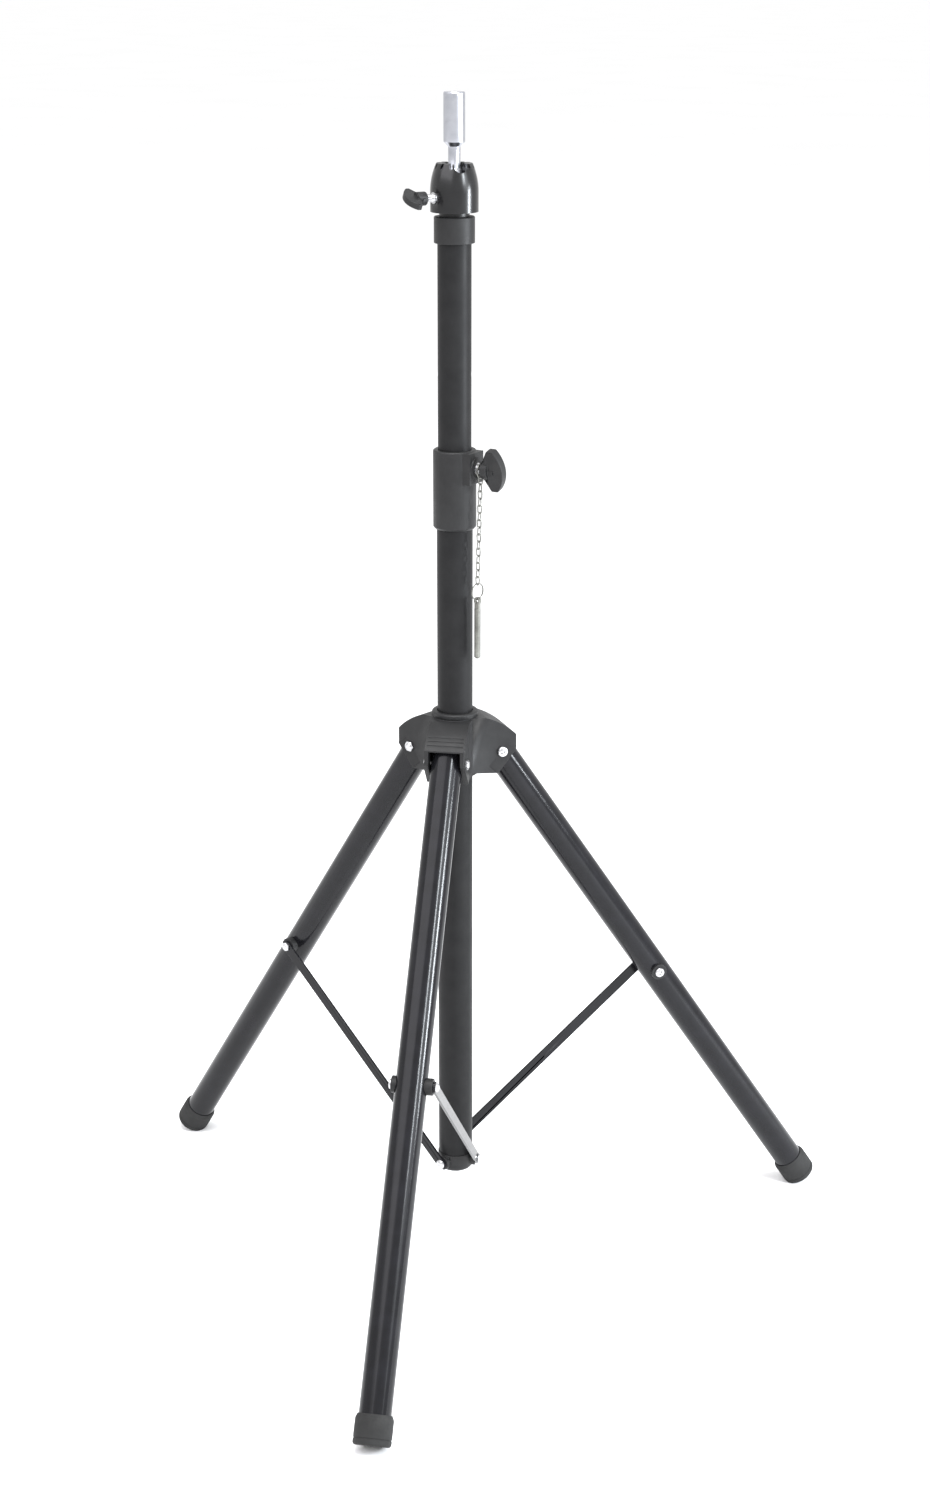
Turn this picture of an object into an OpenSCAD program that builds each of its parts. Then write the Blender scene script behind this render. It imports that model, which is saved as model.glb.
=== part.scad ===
// Folding three-legged stand. A telescoping column carries a swivelling head pin, three
// legs hang from a hub that slides on the column, and a brace ties each leg to the
// column's foot. Millimetres, +Z up, the floor is Z = 0. X = Y = 0 is the middle of the
// footprint's bounding box, so the column's own axis stands at Y = column_y. The legs are
// shown open and leg 1 points along -Y.

/* [Column] */
// Outer diameter of the lower tube
lower_od = 38; // [37.6:0.2:38.4]
// Outer diameter of the upper tube, which slides in the lower one
upper_od = 35; // [34.4:0.2:35]
// Wall of both column tubes
column_wall = 1.2; // [1:0.1:1.2]
// Height of the underside of the column above the floor
column_bottom = 94; // [88:1:98]
// Height of the top of the clamp collar
collar_top = 925; // [915:1:935]
// Length of the clamp collar
collar_len = 84; // [70:1:90]
// Outer diameter of the clamp collar
collar_od = 45.5; // [44:0.5:48]
// Height of the lower edge of the collar at the top of the upper tube
top_collar_z = 1137.4; // [1100:0.1:1200]

/* [Head] */
// Diameter of the head pin
pin_d = 22; // [20:0.5:24]
// Diameter of the pin's neck
neck_d = 12.5; // [11:0.5:12.5]
// Diameter of the ball at the foot of the pin
ball_d = 21; // [20:0.5:21]
// Outer diameter of the ball housing
housing_od = 49.2; // [46:0.2:52]
// Furthest tilt of the pin, along the wide slot
tilt_max = 60; // [45:1:60]
// Direction of the wide slot
slot_azimuth = -59; // [-80:1:-40]
// Direction of the housing's clamp screw
head_screw_azimuth = 223; // [200:1:240]

/* [Legs] */
// Angle of an open leg from the vertical
splay = 33.95; // [30:0.05:36]
// Distance of the leg pivots from the column's axis
pivot_r = 46.9; // [46:0.1:48]
// Length from the pivot to the end of the rubber foot
leg_reach = 706; // [680:1:730]
// Outer diameter of a leg tube
leg_od = 33.5; // [32:0.5:33.5]
// Distance from the leg pivot to the brace bolt
brace_at = 345.7; // [330:0.1:360]
// Width of a brace
brace_w = 12; // [10:0.5:14]
// Thickness of a brace
brace_t = 2.6; // [2:0.1:3]
// Outer diameter of a rubber foot
foot_od = 39.2; // [37:0.2:41]
// Length of a rubber foot
foot_len = 31; // [25:1:36]

/* [Safety chain] */
// Number of chain links
link_count = 15; // [10:1:15]
// Pitch of the chain
link_pitch = 7.6; // [7:0.1:8]
// Diameter of the safety pin
safety_d = 6.8; // [6:0.1:7]
// Length of the safety pin
safety_len = 66; // [50:1:70]

/* [Hidden] */
$fn = 64;
running = 0.05;
seat = 0.02;
gap = 0.3;

// Lower column
lower_id = lower_od - 2 * column_wall;
lower_r = lower_od / 2;
upper_r = upper_od / 2;
upper_id = upper_od - 2 * column_wall;
collar_bottom = collar_top - collar_len;
collar_step = collar_top - 13;
foot_cup_od = lower_od + 1.6;
foot_floor = 5;
foot_cup_h = 20.5;
foot_pivot_z = column_bottom + 11;

// Upper column
upper_bottom = 650;
upper_top = top_collar_z + 22.6;
top_collar_od = 42;
top_collar_h = 26.7;
stem_d = 31;
safety_hole_d = safety_d + 0.7;
safety_hole_z = 1003.4;
safety_hole_step = 80;
safety_hole_azimuth = 195;

// Clamp on the collar
clamp_azimuth = -20;
clamp_z = 907;
clamp_screw_d = 8;
clamp_boss_d = 24;
clamp_boss_r = 28;
lug_half = 14;
lug_face = clamp_boss_r - 1.4;
lug_drop = 16;
clamp_knob_r = 34.7;

// Head
housing_z = top_collar_z + top_collar_h + 4.4;
housing_h = 48.4;
housing_top = housing_z + housing_h;
dome_r = 68;
stem_post_d = 20;
ball_h = 35;
ball_z = housing_z + ball_h;
head_screw_z = housing_z + 14.8;
crown_notches = 12;
notch_w = 3.4;
notch_depth = 5.6;
slot_low = 4;

// Leg hub
hub_bore_r = lower_r + gap;
hub_r = 25;
hub_bottom = 570;
roof_r = 88.9;
roof_t = 4.5;
roof_z = 549.7;
hub_ring_z = 635.8;
hub_top = 641;
arm_half = 21.5;
arm_end = 63;
channel_half = leg_od / 2 + 0.45;
mouth_top = 610.8;
grip_x = 50;
grip_step = 4.2;
grip_w = 1.4;
grip_depth = 0.8;
hub_screw_azimuth = 90;
hub_screw_z = 588;

// Legs and braces
bolt_d = 6;
bolt_head_d = 12;
foot_round = 4;
foot_r = foot_od / 2;
foot_top = foot_len - leg_reach;
foot_lip = 2.4;
sole_cut = 0.8;
leg_wall = 1.1;
leg_top = 8;
pivot_z = leg_reach * cos(splay) + (foot_r - foot_round) * sin(splay)
        + foot_round * (1 - cos(splay)) - sole_cut;
mid_r = pivot_r + brace_at * sin(splay);
mid_z = pivot_z - brace_at * cos(splay);
brace_y = 24.8;
brace_in = brace_y - brace_t / 2;
brace_out = brace_y + brace_t / 2;
brace_len = norm([mid_r, mid_z - foot_pivot_z]);
brace_angle = atan2(mid_r, mid_z - foot_pivot_z);
foot_boss_face = brace_in - gap;

// The feet's furthest points set where the column stands in the footprint's box
foot_reach = pivot_r + leg_reach * sin(splay);
edge_reach = foot_reach - foot_round * sin(splay);
edge_r = foot_r - foot_round;
front_y = edge_reach + edge_r * cos(splay) + foot_round;
rear_y = edge_reach / 2 + edge_r * sqrt(1 - pow(sin(splay) / 2, 2)) + foot_round;
column_y = (front_y - rear_y) / 2;

// Safety chain
loop_r = 7.3;
loop_wire = 1.6;
loop_at = 31.4;
loop_z = clamp_z - (loop_r - loop_wire / 2 - clamp_screw_d / 2 - gap);
chain_wire = 1.3;
link_len = link_pitch + 2 * chain_wire + gap;
link_w = 5.8;
split_r = 8.8;
split_wire = 1.8;
hang_azimuth = -30;
hang_at = 31.6;
chain_span = link_count * link_pitch + chain_wire + gap;
chain_top = [loop_at * cos(clamp_azimuth), loop_at * sin(clamp_azimuth),
             loop_z - loop_r + loop_wire / 2 + gap / 2];
hang_x = hang_at * cos(hang_azimuth);
hang_y = hang_at * sin(hang_azimuth);
chain_lean = norm([chain_top[0] - hang_x, chain_top[1] - hang_y]);
chain_drop = sqrt(pow(chain_span, 2) - pow(chain_lean, 2));
chain_end = [hang_x, hang_y, chain_top[2] - chain_drop];
split_z = chain_end[2] + chain_wire + split_wire / 2 + 1.5 * gap - split_r;
eye_d = 4.4;
eye_z = split_z - split_r - (eye_d - split_wire - gap) / 2;

LEG_NODES = ["leg_tube", "leg_plug", "rubber_foot", "brace_bolt", "brace_nut",
             "brace_spacers", "brace", "foot_rivet"];

// ---- frames ----

module at_column() translate([0, column_y, 0]) children();

module at_azimuth(a, z = 0) at_column() rotate([0, 0, a]) translate([0, 0, z]) children();

module at_leg(i) at_azimuth(120 * (i - 1) - 90) children();

module along_leg(i)
    at_leg(i) translate([pivot_r, 0, pivot_z]) rotate([0, -splay, 0]) children();

module along_brace(i)
    at_leg(i) translate([mid_r, 0, mid_z]) rotate([0, brace_angle, 0]) children();

// ---- shapes that repeat ----

module tube(od, wall, h)
    difference() {
        cylinder(d = od, h = h);
        translate([0, 0, -1]) cylinder(d = od - 2 * wall, h = h + 2);
    }

module cyl_x(d, x0, x1) translate([x0, 0, 0]) rotate([0, 90, 0]) cylinder(d = d, h = x1 - x0);

module cyl_y(d, y0, y1) translate([0, y0, 0]) rotate([-90, 0, 0]) cylinder(d = d, h = y1 - y0);

// A low domed head that stands on Z = 0
module dome_head(d, h) {
    ball = (d * d / 4 + h * h) / (2 * h);
    intersection() {
        translate([0, 0, h - ball]) sphere(ball);
        cylinder(d = d, h = h);
    }
}

module dome_head_y(d, h, y, way) translate([0, y, 0]) rotate([-90 * way, 0, 0]) dome_head(d, h);

module square_z(r, z0, z1) translate([0, z0]) square([r, z1 - z0]);

module torus(r, wire) rotate_extrude() translate([r, 0]) circle(d = wire);

// Profile of a round bar of radius r from z0 to z1, with a rounded lower edge
module rounded_foot_2d(r, z0, z1, edge) {
    translate([0, z0]) square([r - edge, z1 - z0]);
    translate([0, z0 + edge]) square([r, z1 - z0 - edge]);
    translate([r - edge, z0 + edge]) circle(edge);
}

// Wing of a clamp knob: x runs out along the screw, y spans the wing, and each tip ends in
// a flat edge
module wing_2d(root, tip, end, half, flat) {
    rise = end - tip - flat;
    arc_r = (rise * rise + half * half) / (2 * rise);
    intersection() {
        translate([end - arc_r, 0]) circle(arc_r);
        polygon([[root, -0.42 * half], [tip, -half], [end, -half], [end, half],
                 [tip, half], [root, 0.42 * half]]);
    }
}

// Knob with a round hub and a wing, bored for its screw
module wing_knob(r0, hub_d, root, tip, end, half, flat, thick, screw_d, depth)
    difference() {
        union() {
            cyl_x(hub_d, r0, tip - 1);
            rotate([90, 0, 0]) linear_extrude(height = thick, center = true)
                wing_2d(root, tip, end, half, flat);
            cyl_x(screw_d + 3, tip - 2, r0 + depth + 1.5);
        }
        cyl_x(screw_d + 2 * seat, r0 - 1, r0 + depth);
    }

// One oval link in the XZ plane, centred on the origin, long way along Z
module oval_link(len, w, wire) {
    bend = w / 2 - wire / 2;
    straight = len / 2 - w / 2;
    for (end = [-1, 1]) {
        translate([0, 0, end * straight]) rotate([90, 0, 0])
            rotate([0, 0, end > 0 ? 0 : 180]) rotate_extrude(angle = 180)
                translate([bend, 0]) circle(d = wire, $fn = 24);
        translate([end * bend, 0, -straight]) cylinder(d = wire, h = 2 * straight, $fn = 24);
    }
}

// ---- column ----

module lower_tube() color([0.06, 0.06, 0.065])
    difference() {
        at_azimuth(0, column_bottom + foot_floor + seat)
            tube(lower_od, column_wall, collar_step - column_bottom - foot_floor - 2 * seat);
        at_azimuth(clamp_azimuth, clamp_z) cyl_x(9.6, 5, 30);
    }

module column_foot() color([0.05, 0.05, 0.05])
    difference() {
        at_column() union() {
            rotate_extrude() {
                rounded_foot_2d(foot_cup_od / 2, column_bottom, column_bottom + foot_cup_h, 6);
                square_z(lower_id / 2 - seat, column_bottom + 4, column_bottom + 36);
            }
            for (i = [1:3]) rotate([0, 0, 120 * (i - 1) - 90]) translate([0, 0, foot_pivot_z])
                cyl_y(16, 0, foot_boss_face);
        }
        at_column() rotate_extrude() translate([lower_id / 2 - seat, column_bottom + foot_floor])
            square([column_wall + 2 * seat, 60]);
        at_azimuth(0, column_bottom + 22) cylinder(d = lower_id - 8, h = 20);
    }

module clamp_collar() color([0.055, 0.055, 0.055])
    difference() {
        union() {
            at_azimuth(0, collar_bottom) {
                translate([0, 0, 2.4]) cylinder(d = collar_od, h = collar_len - 3.6);
                cylinder(d1 = collar_od - 4, d2 = collar_od, h = 2.4);
                translate([0, 0, collar_len - 1.2])
                    cylinder(d1 = collar_od, d2 = collar_od - 2.4, h = 1.2);
            }
            at_azimuth(clamp_azimuth, clamp_z) {
                cyl_x(clamp_boss_d, 12, clamp_boss_r);
                translate([10, -lug_half, -lug_drop])
                    cube([lug_face - 10, 2 * lug_half, lug_drop + collar_top - clamp_z - 1.2]);
            }
        }
        at_azimuth(0, collar_bottom - 1)
            cylinder(r = lower_r + seat, h = collar_step - collar_bottom + 1);
        at_azimuth(0, collar_bottom) cylinder(r = upper_r + gap, h = collar_len + 1);
        at_azimuth(clamp_azimuth, clamp_z) {
            cyl_x(9.6, 10, 30);
            cyl_x(12.5, 21, 30);
        }
    }

module clamp_insert() color([0.72, 0.55, 0.25])
    at_azimuth(clamp_azimuth, clamp_z) difference() {
        cyl_x(12.46, 21 + seat, clamp_boss_r);
        cyl_x(clamp_screw_d + 2 * running, 20, 30);
    }

module clamp_screw() color([0.7, 0.7, 0.72])
    at_azimuth(clamp_azimuth, clamp_z) cyl_x(clamp_screw_d, 20.4 + seat, clamp_knob_r + 12);

module clamp_pad() color([0.75, 0.58, 0.28])
    at_azimuth(clamp_azimuth, clamp_z) cyl_x(clamp_screw_d, upper_r + gap, 20.4);

module clamp_knob() color([0.05, 0.05, 0.05])
    at_azimuth(clamp_azimuth, clamp_z) rotate([16, 0, 0])
        wing_knob(clamp_knob_r, 20, 36.5, 43.5, 59.5, 23, 7.5, 10, clamp_screw_d, 12.2);

module upper_tube() color([0.08, 0.08, 0.085])
    difference() {
        at_azimuth(0, upper_bottom) tube(upper_od, column_wall, upper_top - upper_bottom);
        for (k = [0:3]) at_azimuth(safety_hole_azimuth, safety_hole_z - k * safety_hole_step)
            cyl_x(safety_hole_d, -30, 30);
    }

module upper_tube_guide() color([0.85, 0.84, 0.8])
    at_azimuth(0, upper_bottom) difference() {
        union() {
            translate([0, 0, -4]) cylinder(d = lower_id - 0.4, h = 4 - seat);
            translate([0, 0, -1]) cylinder(d = upper_id - 2 * seat, h = 20);
        }
        translate([0, 0, -5]) cylinder(d = upper_id - 9, h = 30);
    }

module top_collar() color([0.05, 0.05, 0.05])
    at_azimuth(0, top_collar_z) difference() {
        union() {
            cylinder(d = top_collar_od, h = top_collar_h - 1);
            translate([0, 0, top_collar_h - 1])
                cylinder(d1 = top_collar_od, d2 = top_collar_od - 2, h = 1);
        }
        translate([0, 0, -1]) cylinder(r = upper_r + seat, h = upper_top - top_collar_z + 1 + seat);
        cylinder(d = stem_d + 2 * seat, h = top_collar_h + 1);
    }

// ---- head ----

module head_stem() color([0.07, 0.07, 0.07])
    at_azimuth(0, top_collar_z) difference() {
        union() {
            translate([0, 0, -6]) cylinder(d = upper_id - 2 * seat, h = upper_top - top_collar_z + 6);
            cylinder(d = stem_d, h = housing_z - gap - top_collar_z);
            cylinder(d = stem_post_d, h = housing_z - top_collar_z + 5.7);
        }
        translate([0, 0, housing_z - top_collar_z - 9]) cylinder(d = 5.96, h = 20);
        translate([0, 0, -7]) cylinder(d = 22, h = 18);
    }

module stem_screw() color([0.72, 0.72, 0.74])
    at_azimuth(0, housing_z) {
        translate([0, 0, -8]) cylinder(d = 5.94, h = 15.4);
        translate([0, 0, 7.3]) dome_head(11, 3);
    }

module stem_washer() color([0.72, 0.72, 0.74])
    at_azimuth(0, housing_z + 5.75) tube(26, 10, 1.5);

// Half section of everything that is hollow inside the housing, from its underside
module housing_hollow_2d() {
    square([stem_post_d / 2 + running, 8]);
    translate([0, 5.4]) square([16, 29]);
    intersection() {
        translate([0, ball_h]) circle(ball_d / 2 + 0.4);
        square([20, housing_h]);
    }
    polygon([[0, ball_h + 5], [8.9, ball_h + 5], [8.9, ball_h + 8], [10.4, housing_h + 1],
             [0, housing_h + 1]]);
}

module head_housing() color([0.03, 0.03, 0.035])
    difference() {
        at_azimuth(0, housing_z) rotate_extrude() difference() {
            intersection() {
                square([housing_od / 2, housing_h]);
                translate([housing_od / 2 - dome_r, 20]) union() {
                    circle(dome_r, $fn = 180);
                    translate([0, -20]) square([dome_r, 20]);
                }
            }
            housing_hollow_2d();
        }
        // Wide slot: the space that the neck sweeps as it lies over
        at_azimuth(slot_azimuth, ball_z) {
            rotate([0, tilt_max, 0]) cylinder(d = neck_d + 0.8, h = 40);
            side_extrude(neck_d + 0.6)
                polygon([[0, slot_low], [slot_low * tan(tilt_max), slot_low],
                         [40 * sin(tilt_max), 40 * cos(tilt_max)],
                         [40 * sin(tilt_max), 40], [0, 40]]);
        }
        // Narrow notches round the rest of the rim
        for (k = [1:crown_notches - 1])
            at_azimuth(slot_azimuth + k * 360 / crown_notches, housing_top - notch_depth)
                translate([7, 0, 0]) {
                    translate([0, -notch_w / 2, notch_w / 2]) cube([30, notch_w, 20]);
                    translate([0, 0, notch_w / 2]) cyl_x(notch_w + 0.1, 0, 30);
                }
        at_azimuth(head_screw_azimuth, head_screw_z) {
            cyl_x(8.6, 10, 30);
            cyl_x(11.5, 17, 30);
        }
    }

module ball_seat() color([0.9, 0.9, 0.88])
    at_azimuth(0, housing_z) difference() {
        translate([0, 0, 10.6]) cylinder(d = 31.6, h = 22.6);
        translate([0, 0, ball_h]) sphere(ball_d / 2 + running);
        translate([0, 0, 10]) cylinder(d = 9, h = 30);
    }

module head_insert() color([0.75, 0.75, 0.76])
    at_azimuth(head_screw_azimuth, head_screw_z) difference() {
        cyl_x(11.46, 17 + seat, housing_od / 2 + 0.6);
        cyl_x(8 + 2 * running, 16, 30);
    }

module head_screw() color([0.75, 0.75, 0.77])
    at_azimuth(head_screw_azimuth, head_screw_z) cyl_x(8, 18, 44);

module head_pad() color([0.75, 0.58, 0.28])
    at_azimuth(head_screw_azimuth, head_screw_z) cyl_x(8, 16.1, 18 - seat);

module head_knob() color([0.05, 0.05, 0.05])
    at_azimuth(head_screw_azimuth, head_screw_z) rotate([63, 0, 0])
        wing_knob(35, 14, 41, 46.5, 58, 15.3, 3.5, 6.5, 8, 9.2);

module head_pin() color([0.78, 0.79, 0.8])
    at_azimuth(0, ball_z) {
        sphere(d = ball_d);
        cylinder(d = neck_d, h = 30);
        translate([0, 0, 29.5]) cylinder(d1 = neck_d, d2 = pin_d, h = (pin_d - neck_d) / 2);
        translate([0, 0, 29.5 + (pin_d - neck_d) / 2]) cylinder(d = pin_d, h = 48);
        translate([0, 0, 77.5 + (pin_d - neck_d) / 2])
            cylinder(d1 = pin_d, d2 = pin_d - 1.6, h = 0.8);
    }

// ---- leg hub ----

// Side view of one arm under its domed roof: x is the distance from the column's axis
module arm_2d()
    intersection() {
        translate([0, roof_z]) circle(roof_r, $fn = 180);
        polygon([[12, 634.4], [40, 634.4], [arm_end, 620], [arm_end, 596], [41.7, 570.2],
                 [12, 572.6]]);
    }

// The space inside an arm, open below and outward, where the leg turns
module channel_2d() {
    intersection() {
        translate([0, roof_z]) circle(roof_r - roof_t, $fn = 180);
        polygon([[27.8, 540], [27.8, 640], [58.6, 640], [58.6, 540]]);
    }
    polygon([[50, 540], [50, mouth_top], [90, mouth_top], [90, 540]]);
}

// The rib under the roof that the end of an open leg stops against
module stop_2d() {
    end = [pivot_r - (leg_top + gap) * sin(splay), pivot_z + (leg_top + gap) * cos(splay)];
    along = [cos(splay), sin(splay)];
    polygon([end + 7 * along, end + 14 * along, [54, 616], [46, 622]]);
}

module side_extrude(width) rotate([90, 0, 0]) linear_extrude(height = width, center = true) children();

module leg_hub() color([0.06, 0.06, 0.06])
    difference() {
        union() {
            difference() {
                union() {
                    at_azimuth(0, hub_bottom) cylinder(r = hub_r, h = hub_ring_z - 1 - hub_bottom);
                    at_azimuth(0, hub_ring_z - 2) cylinder(r = hub_r - 1, h = 3);
                    at_azimuth(0, hub_ring_z) cylinder(r = hub_r, h = hub_top - hub_ring_z - 1.4);
                    at_azimuth(0, hub_top - 1.4) cylinder(r1 = hub_r, r2 = hub_r - 1.6, h = 1.4);
                    for (i = [1:3]) at_leg(i) side_extrude(2 * arm_half) arm_2d();
                    at_azimuth(hub_screw_azimuth, hub_screw_z) cyl_x(18, 15, 29.5);
                }
                for (i = [1:3]) at_leg(i) side_extrude(2 * channel_half) channel_2d();
            }
            for (i = [1:3]) at_leg(i) side_extrude(12) stop_2d();
        }
        at_azimuth(0, hub_bottom - 20) cylinder(r = hub_bore_r, h = 100);
        for (i = [1:3]) at_leg(i) {
            translate([pivot_r, 0, pivot_z]) cyl_y(bolt_d + 2 * seat, -30, 30);
            // Grip grooves across the end of the roof
            for (k = [0:2]) translate([0, 0, roof_z]) rotate([0, asin((grip_x + k * grip_step) / roof_r), 0])
                translate([-grip_w / 2, 2.5 - arm_half, roof_r - grip_depth])
                    cube([grip_w, 2 * arm_half - 5, 2]);
        }
        at_azimuth(hub_screw_azimuth, hub_screw_z) {
            cyl_x(9, 10, 40);
            cyl_x(12.5, 22.5, 40);
        }
    }

module pivot_bolts() color([0.75, 0.75, 0.77])
    for (i = [1:3]) at_leg(i) translate([pivot_r, 0, pivot_z]) {
        cyl_y(bolt_d, -arm_half - 0.1, arm_half - 0.1);
        dome_head_y(bolt_head_d, 3.4, -arm_half - seat, -1);
    }

module pivot_nuts() color([0.75, 0.75, 0.77])
    for (i = [1:3]) at_leg(i) translate([pivot_r, 0, pivot_z])
        dome_head_y(bolt_head_d, 3.4, arm_half + seat, 1);

module hub_insert() color([0.72, 0.55, 0.25])
    at_azimuth(hub_screw_azimuth, hub_screw_z) difference() {
        cyl_x(12.46, 22.5 + seat, 29.5);
        cyl_x(8 + 2 * running, 20, 40);
    }

module hub_screw() color([0.7, 0.7, 0.72])
    at_azimuth(hub_screw_azimuth, hub_screw_z) cyl_x(8, 21.6 + seat, 42);

module hub_pad() color([0.75, 0.58, 0.28])
    at_azimuth(hub_screw_azimuth, hub_screw_z) cyl_x(8, lower_r + gap, 21.6);

module hub_knob() color([0.05, 0.05, 0.05])
    at_azimuth(hub_screw_azimuth, hub_screw_z) rotate([90, 0, 0])
        wing_knob(32, 17, 39, 44, 58, 18, 5, 9, 8, 10.2);

// ---- legs: z runs up the leg from its pivot ----

module leg_tube(i) color([0.07, 0.07, 0.075])
    along_leg(i) difference() {
        translate([0, 0, -leg_reach + 4]) tube(leg_od, leg_wall, leg_reach - 4 + leg_top);
        cyl_y(bolt_d + 2 * gap, -30, 30);
        translate([0, 0, -brace_at]) cyl_y(bolt_d + 2 * seat, -30, 30);
    }

module leg_plug(i) color([0.09, 0.09, 0.09])
    along_leg(i) difference() {
        translate([0, 0, -26]) cylinder(d = leg_od - 2 * leg_wall - 2 * seat, h = 26 + leg_top - 0.6);
        cyl_y(bolt_d + 2 * running, -30, 30);
        translate([0, 0, -30]) cylinder(d = 20, h = 20);
    }

module rubber_foot(i) color([0.03, 0.03, 0.03])
    difference() {
        along_leg(i) rotate_extrude() difference() {
            rounded_foot_2d(foot_r, -leg_reach, foot_top, foot_round);
            translate([-1, -leg_reach + 4 - seat]) square([leg_od / 2 + seat + 1, 60]);
            polygon([[foot_r - foot_lip, foot_top], [foot_r, foot_top - 2.2 * foot_lip],
                     [foot_r + 1, foot_top - 2.2 * foot_lip], [foot_r + 1, foot_top + 1],
                     [foot_r - foot_lip, foot_top + 1]]);
        }
        at_leg(i) translate([foot_reach - 60, -60, -20]) cube([120, 120, 20]);
    }

module brace_bolt(i) color([0.75, 0.75, 0.77])
    along_leg(i) translate([0, 0, -brace_at]) {
        cyl_y(bolt_d, -20.6, brace_out + 0.1);
        dome_head_y(11, 3.2, -20.5 - seat, -1);
    }

module brace_nut(i) color([0.75, 0.75, 0.77])
    along_leg(i) translate([0, 0, -brace_at]) dome_head_y(11, 3.2, brace_out + 0.1 + seat, 1);

// The two saddle spacers between the tube, the bolt head and the brace
module brace_spacers(i) color([0.05, 0.05, 0.05])
    along_leg(i) difference() {
        translate([0, 0, -brace_at]) {
            cyl_y(18, -20.5, -8);
            cyl_y(18, 8, brace_in - 0.1);
        }
        translate([0, 0, -brace_at - 20]) cylinder(d = leg_od + 2 * seat, h = 40);
        translate([0, 0, -brace_at]) cyl_y(bolt_d + 2 * seat, -30, 30);
    }

// ---- braces: z runs up the brace, the leg's bolt is at 0 ----

module brace(i) color([0.07, 0.07, 0.075])
    along_brace(i) difference() {
        union() {
            translate([-brace_w / 2, brace_in, -brace_len]) cube([brace_w, brace_t, brace_len]);
            cyl_y(brace_w, brace_in, brace_out);
            translate([0, 0, -brace_len]) cyl_y(brace_w, brace_in, brace_out);
        }
        cyl_y(bolt_d + 2 * running, 0, 40);
        translate([0, 0, -brace_len]) cyl_y(bolt_d + 2 * seat, 0, 40);
    }

module foot_rivet(i) color([0.75, 0.75, 0.77])
    along_brace(i) translate([0, 0, -brace_len]) {
        cyl_y(bolt_d, brace_in, brace_out + 0.1);
        dome_head_y(11, 3, brace_out + seat, 1);
    }

// ---- safety chain ----

module chain_loop() color([0.8, 0.8, 0.82])
    at_azimuth(clamp_azimuth) translate([loop_at, 0, loop_z]) rotate([0, 90, 0])
        torus(loop_r, loop_wire);

// Links hang on the line from chain_top to chain_end, each a quarter turn from the last
module chain_links() color([0.8, 0.8, 0.82])
    for (k = [0:link_count - 1]) {
        along = k / (link_count - 1);
        middle = -link_len / 2 + chain_wire + gap - k * link_pitch;
        at_column() translate(chain_top + (chain_end - chain_top) * -middle / chain_span)
            rotate([0, 0, (1 - along) * clamp_azimuth + along * hang_azimuth + 90 * (k % 2)])
                oval_link(link_len, link_w, chain_wire);
    }

module split_ring() color([0.8, 0.8, 0.82])
    at_azimuth(hang_azimuth, split_z) translate([hang_at, 0, 0]) rotate([0, 90, 0])
        torus(split_r, split_wire);

module safety_pin() color([0.8, 0.8, 0.82])
    at_azimuth(hang_azimuth, eye_z) translate([hang_at, 0, 0]) difference() {
        union() {
            translate([0, 0, -safety_len + 4.5]) cylinder(d = safety_d, h = safety_len - 4.5);
            translate([0, 0, -safety_len + 3])
                cylinder(d1 = safety_d - 3, d2 = safety_d, h = 1.5);
            cyl_y(8, -1.7, 1.7);
        }
        cyl_y(eye_d, -10, 10);
        for (side = [-1, 1]) translate([-10, side * 6.7 - 5, -9]) cube([20, 10, 30]);
    }

lower_tube();
column_foot();
clamp_collar();
clamp_insert();
clamp_screw();
clamp_pad();
clamp_knob();
upper_tube();
upper_tube_guide();
top_collar();
head_stem();
stem_screw();
stem_washer();
head_housing();
ball_seat();
head_insert();
head_pad();
head_screw();
head_knob();
head_pin();
leg_hub();
pivot_bolts();
pivot_nuts();
hub_insert();
hub_screw();
hub_pad();
hub_knob();
chain_loop();
chain_links();
split_ring();
safety_pin();
for (i = [1:3]) {
    leg_tube(i);
    leg_plug(i);
    rubber_foot(i);
    brace_bolt(i);
    brace_nut(i);
    brace_spacers(i);
    brace(i);
    foot_rivet(i);
}
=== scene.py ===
"""Looks of a folding three-legged stand: column, sliding hub, braced legs, swivelling head pin.

Shapes are worked out in millimetres in the CAD's own frame (+Z up, floor at Z = 0, column on
X = 0, Y = COLUMN_Y) and scaled to metres as each piece is made.
"""
import math

import bmesh
import bpy
from mathutils import Matrix, Vector


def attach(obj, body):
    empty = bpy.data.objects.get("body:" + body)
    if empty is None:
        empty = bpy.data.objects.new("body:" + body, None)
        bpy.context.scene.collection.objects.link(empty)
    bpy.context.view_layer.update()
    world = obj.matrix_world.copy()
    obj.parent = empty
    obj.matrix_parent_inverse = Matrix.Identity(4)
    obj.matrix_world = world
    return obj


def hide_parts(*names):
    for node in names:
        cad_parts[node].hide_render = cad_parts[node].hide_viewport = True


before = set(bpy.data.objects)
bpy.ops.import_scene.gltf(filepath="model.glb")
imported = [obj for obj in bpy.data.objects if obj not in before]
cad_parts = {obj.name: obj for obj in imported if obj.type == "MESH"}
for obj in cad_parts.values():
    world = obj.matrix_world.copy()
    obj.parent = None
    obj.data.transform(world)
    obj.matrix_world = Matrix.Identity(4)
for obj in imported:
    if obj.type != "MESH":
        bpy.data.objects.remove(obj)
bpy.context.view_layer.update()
scene = bpy.context.scene
MM = 0.001

# ---- the CAD's sizes that the finer pieces need, in millimetres and degrees ----

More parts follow.
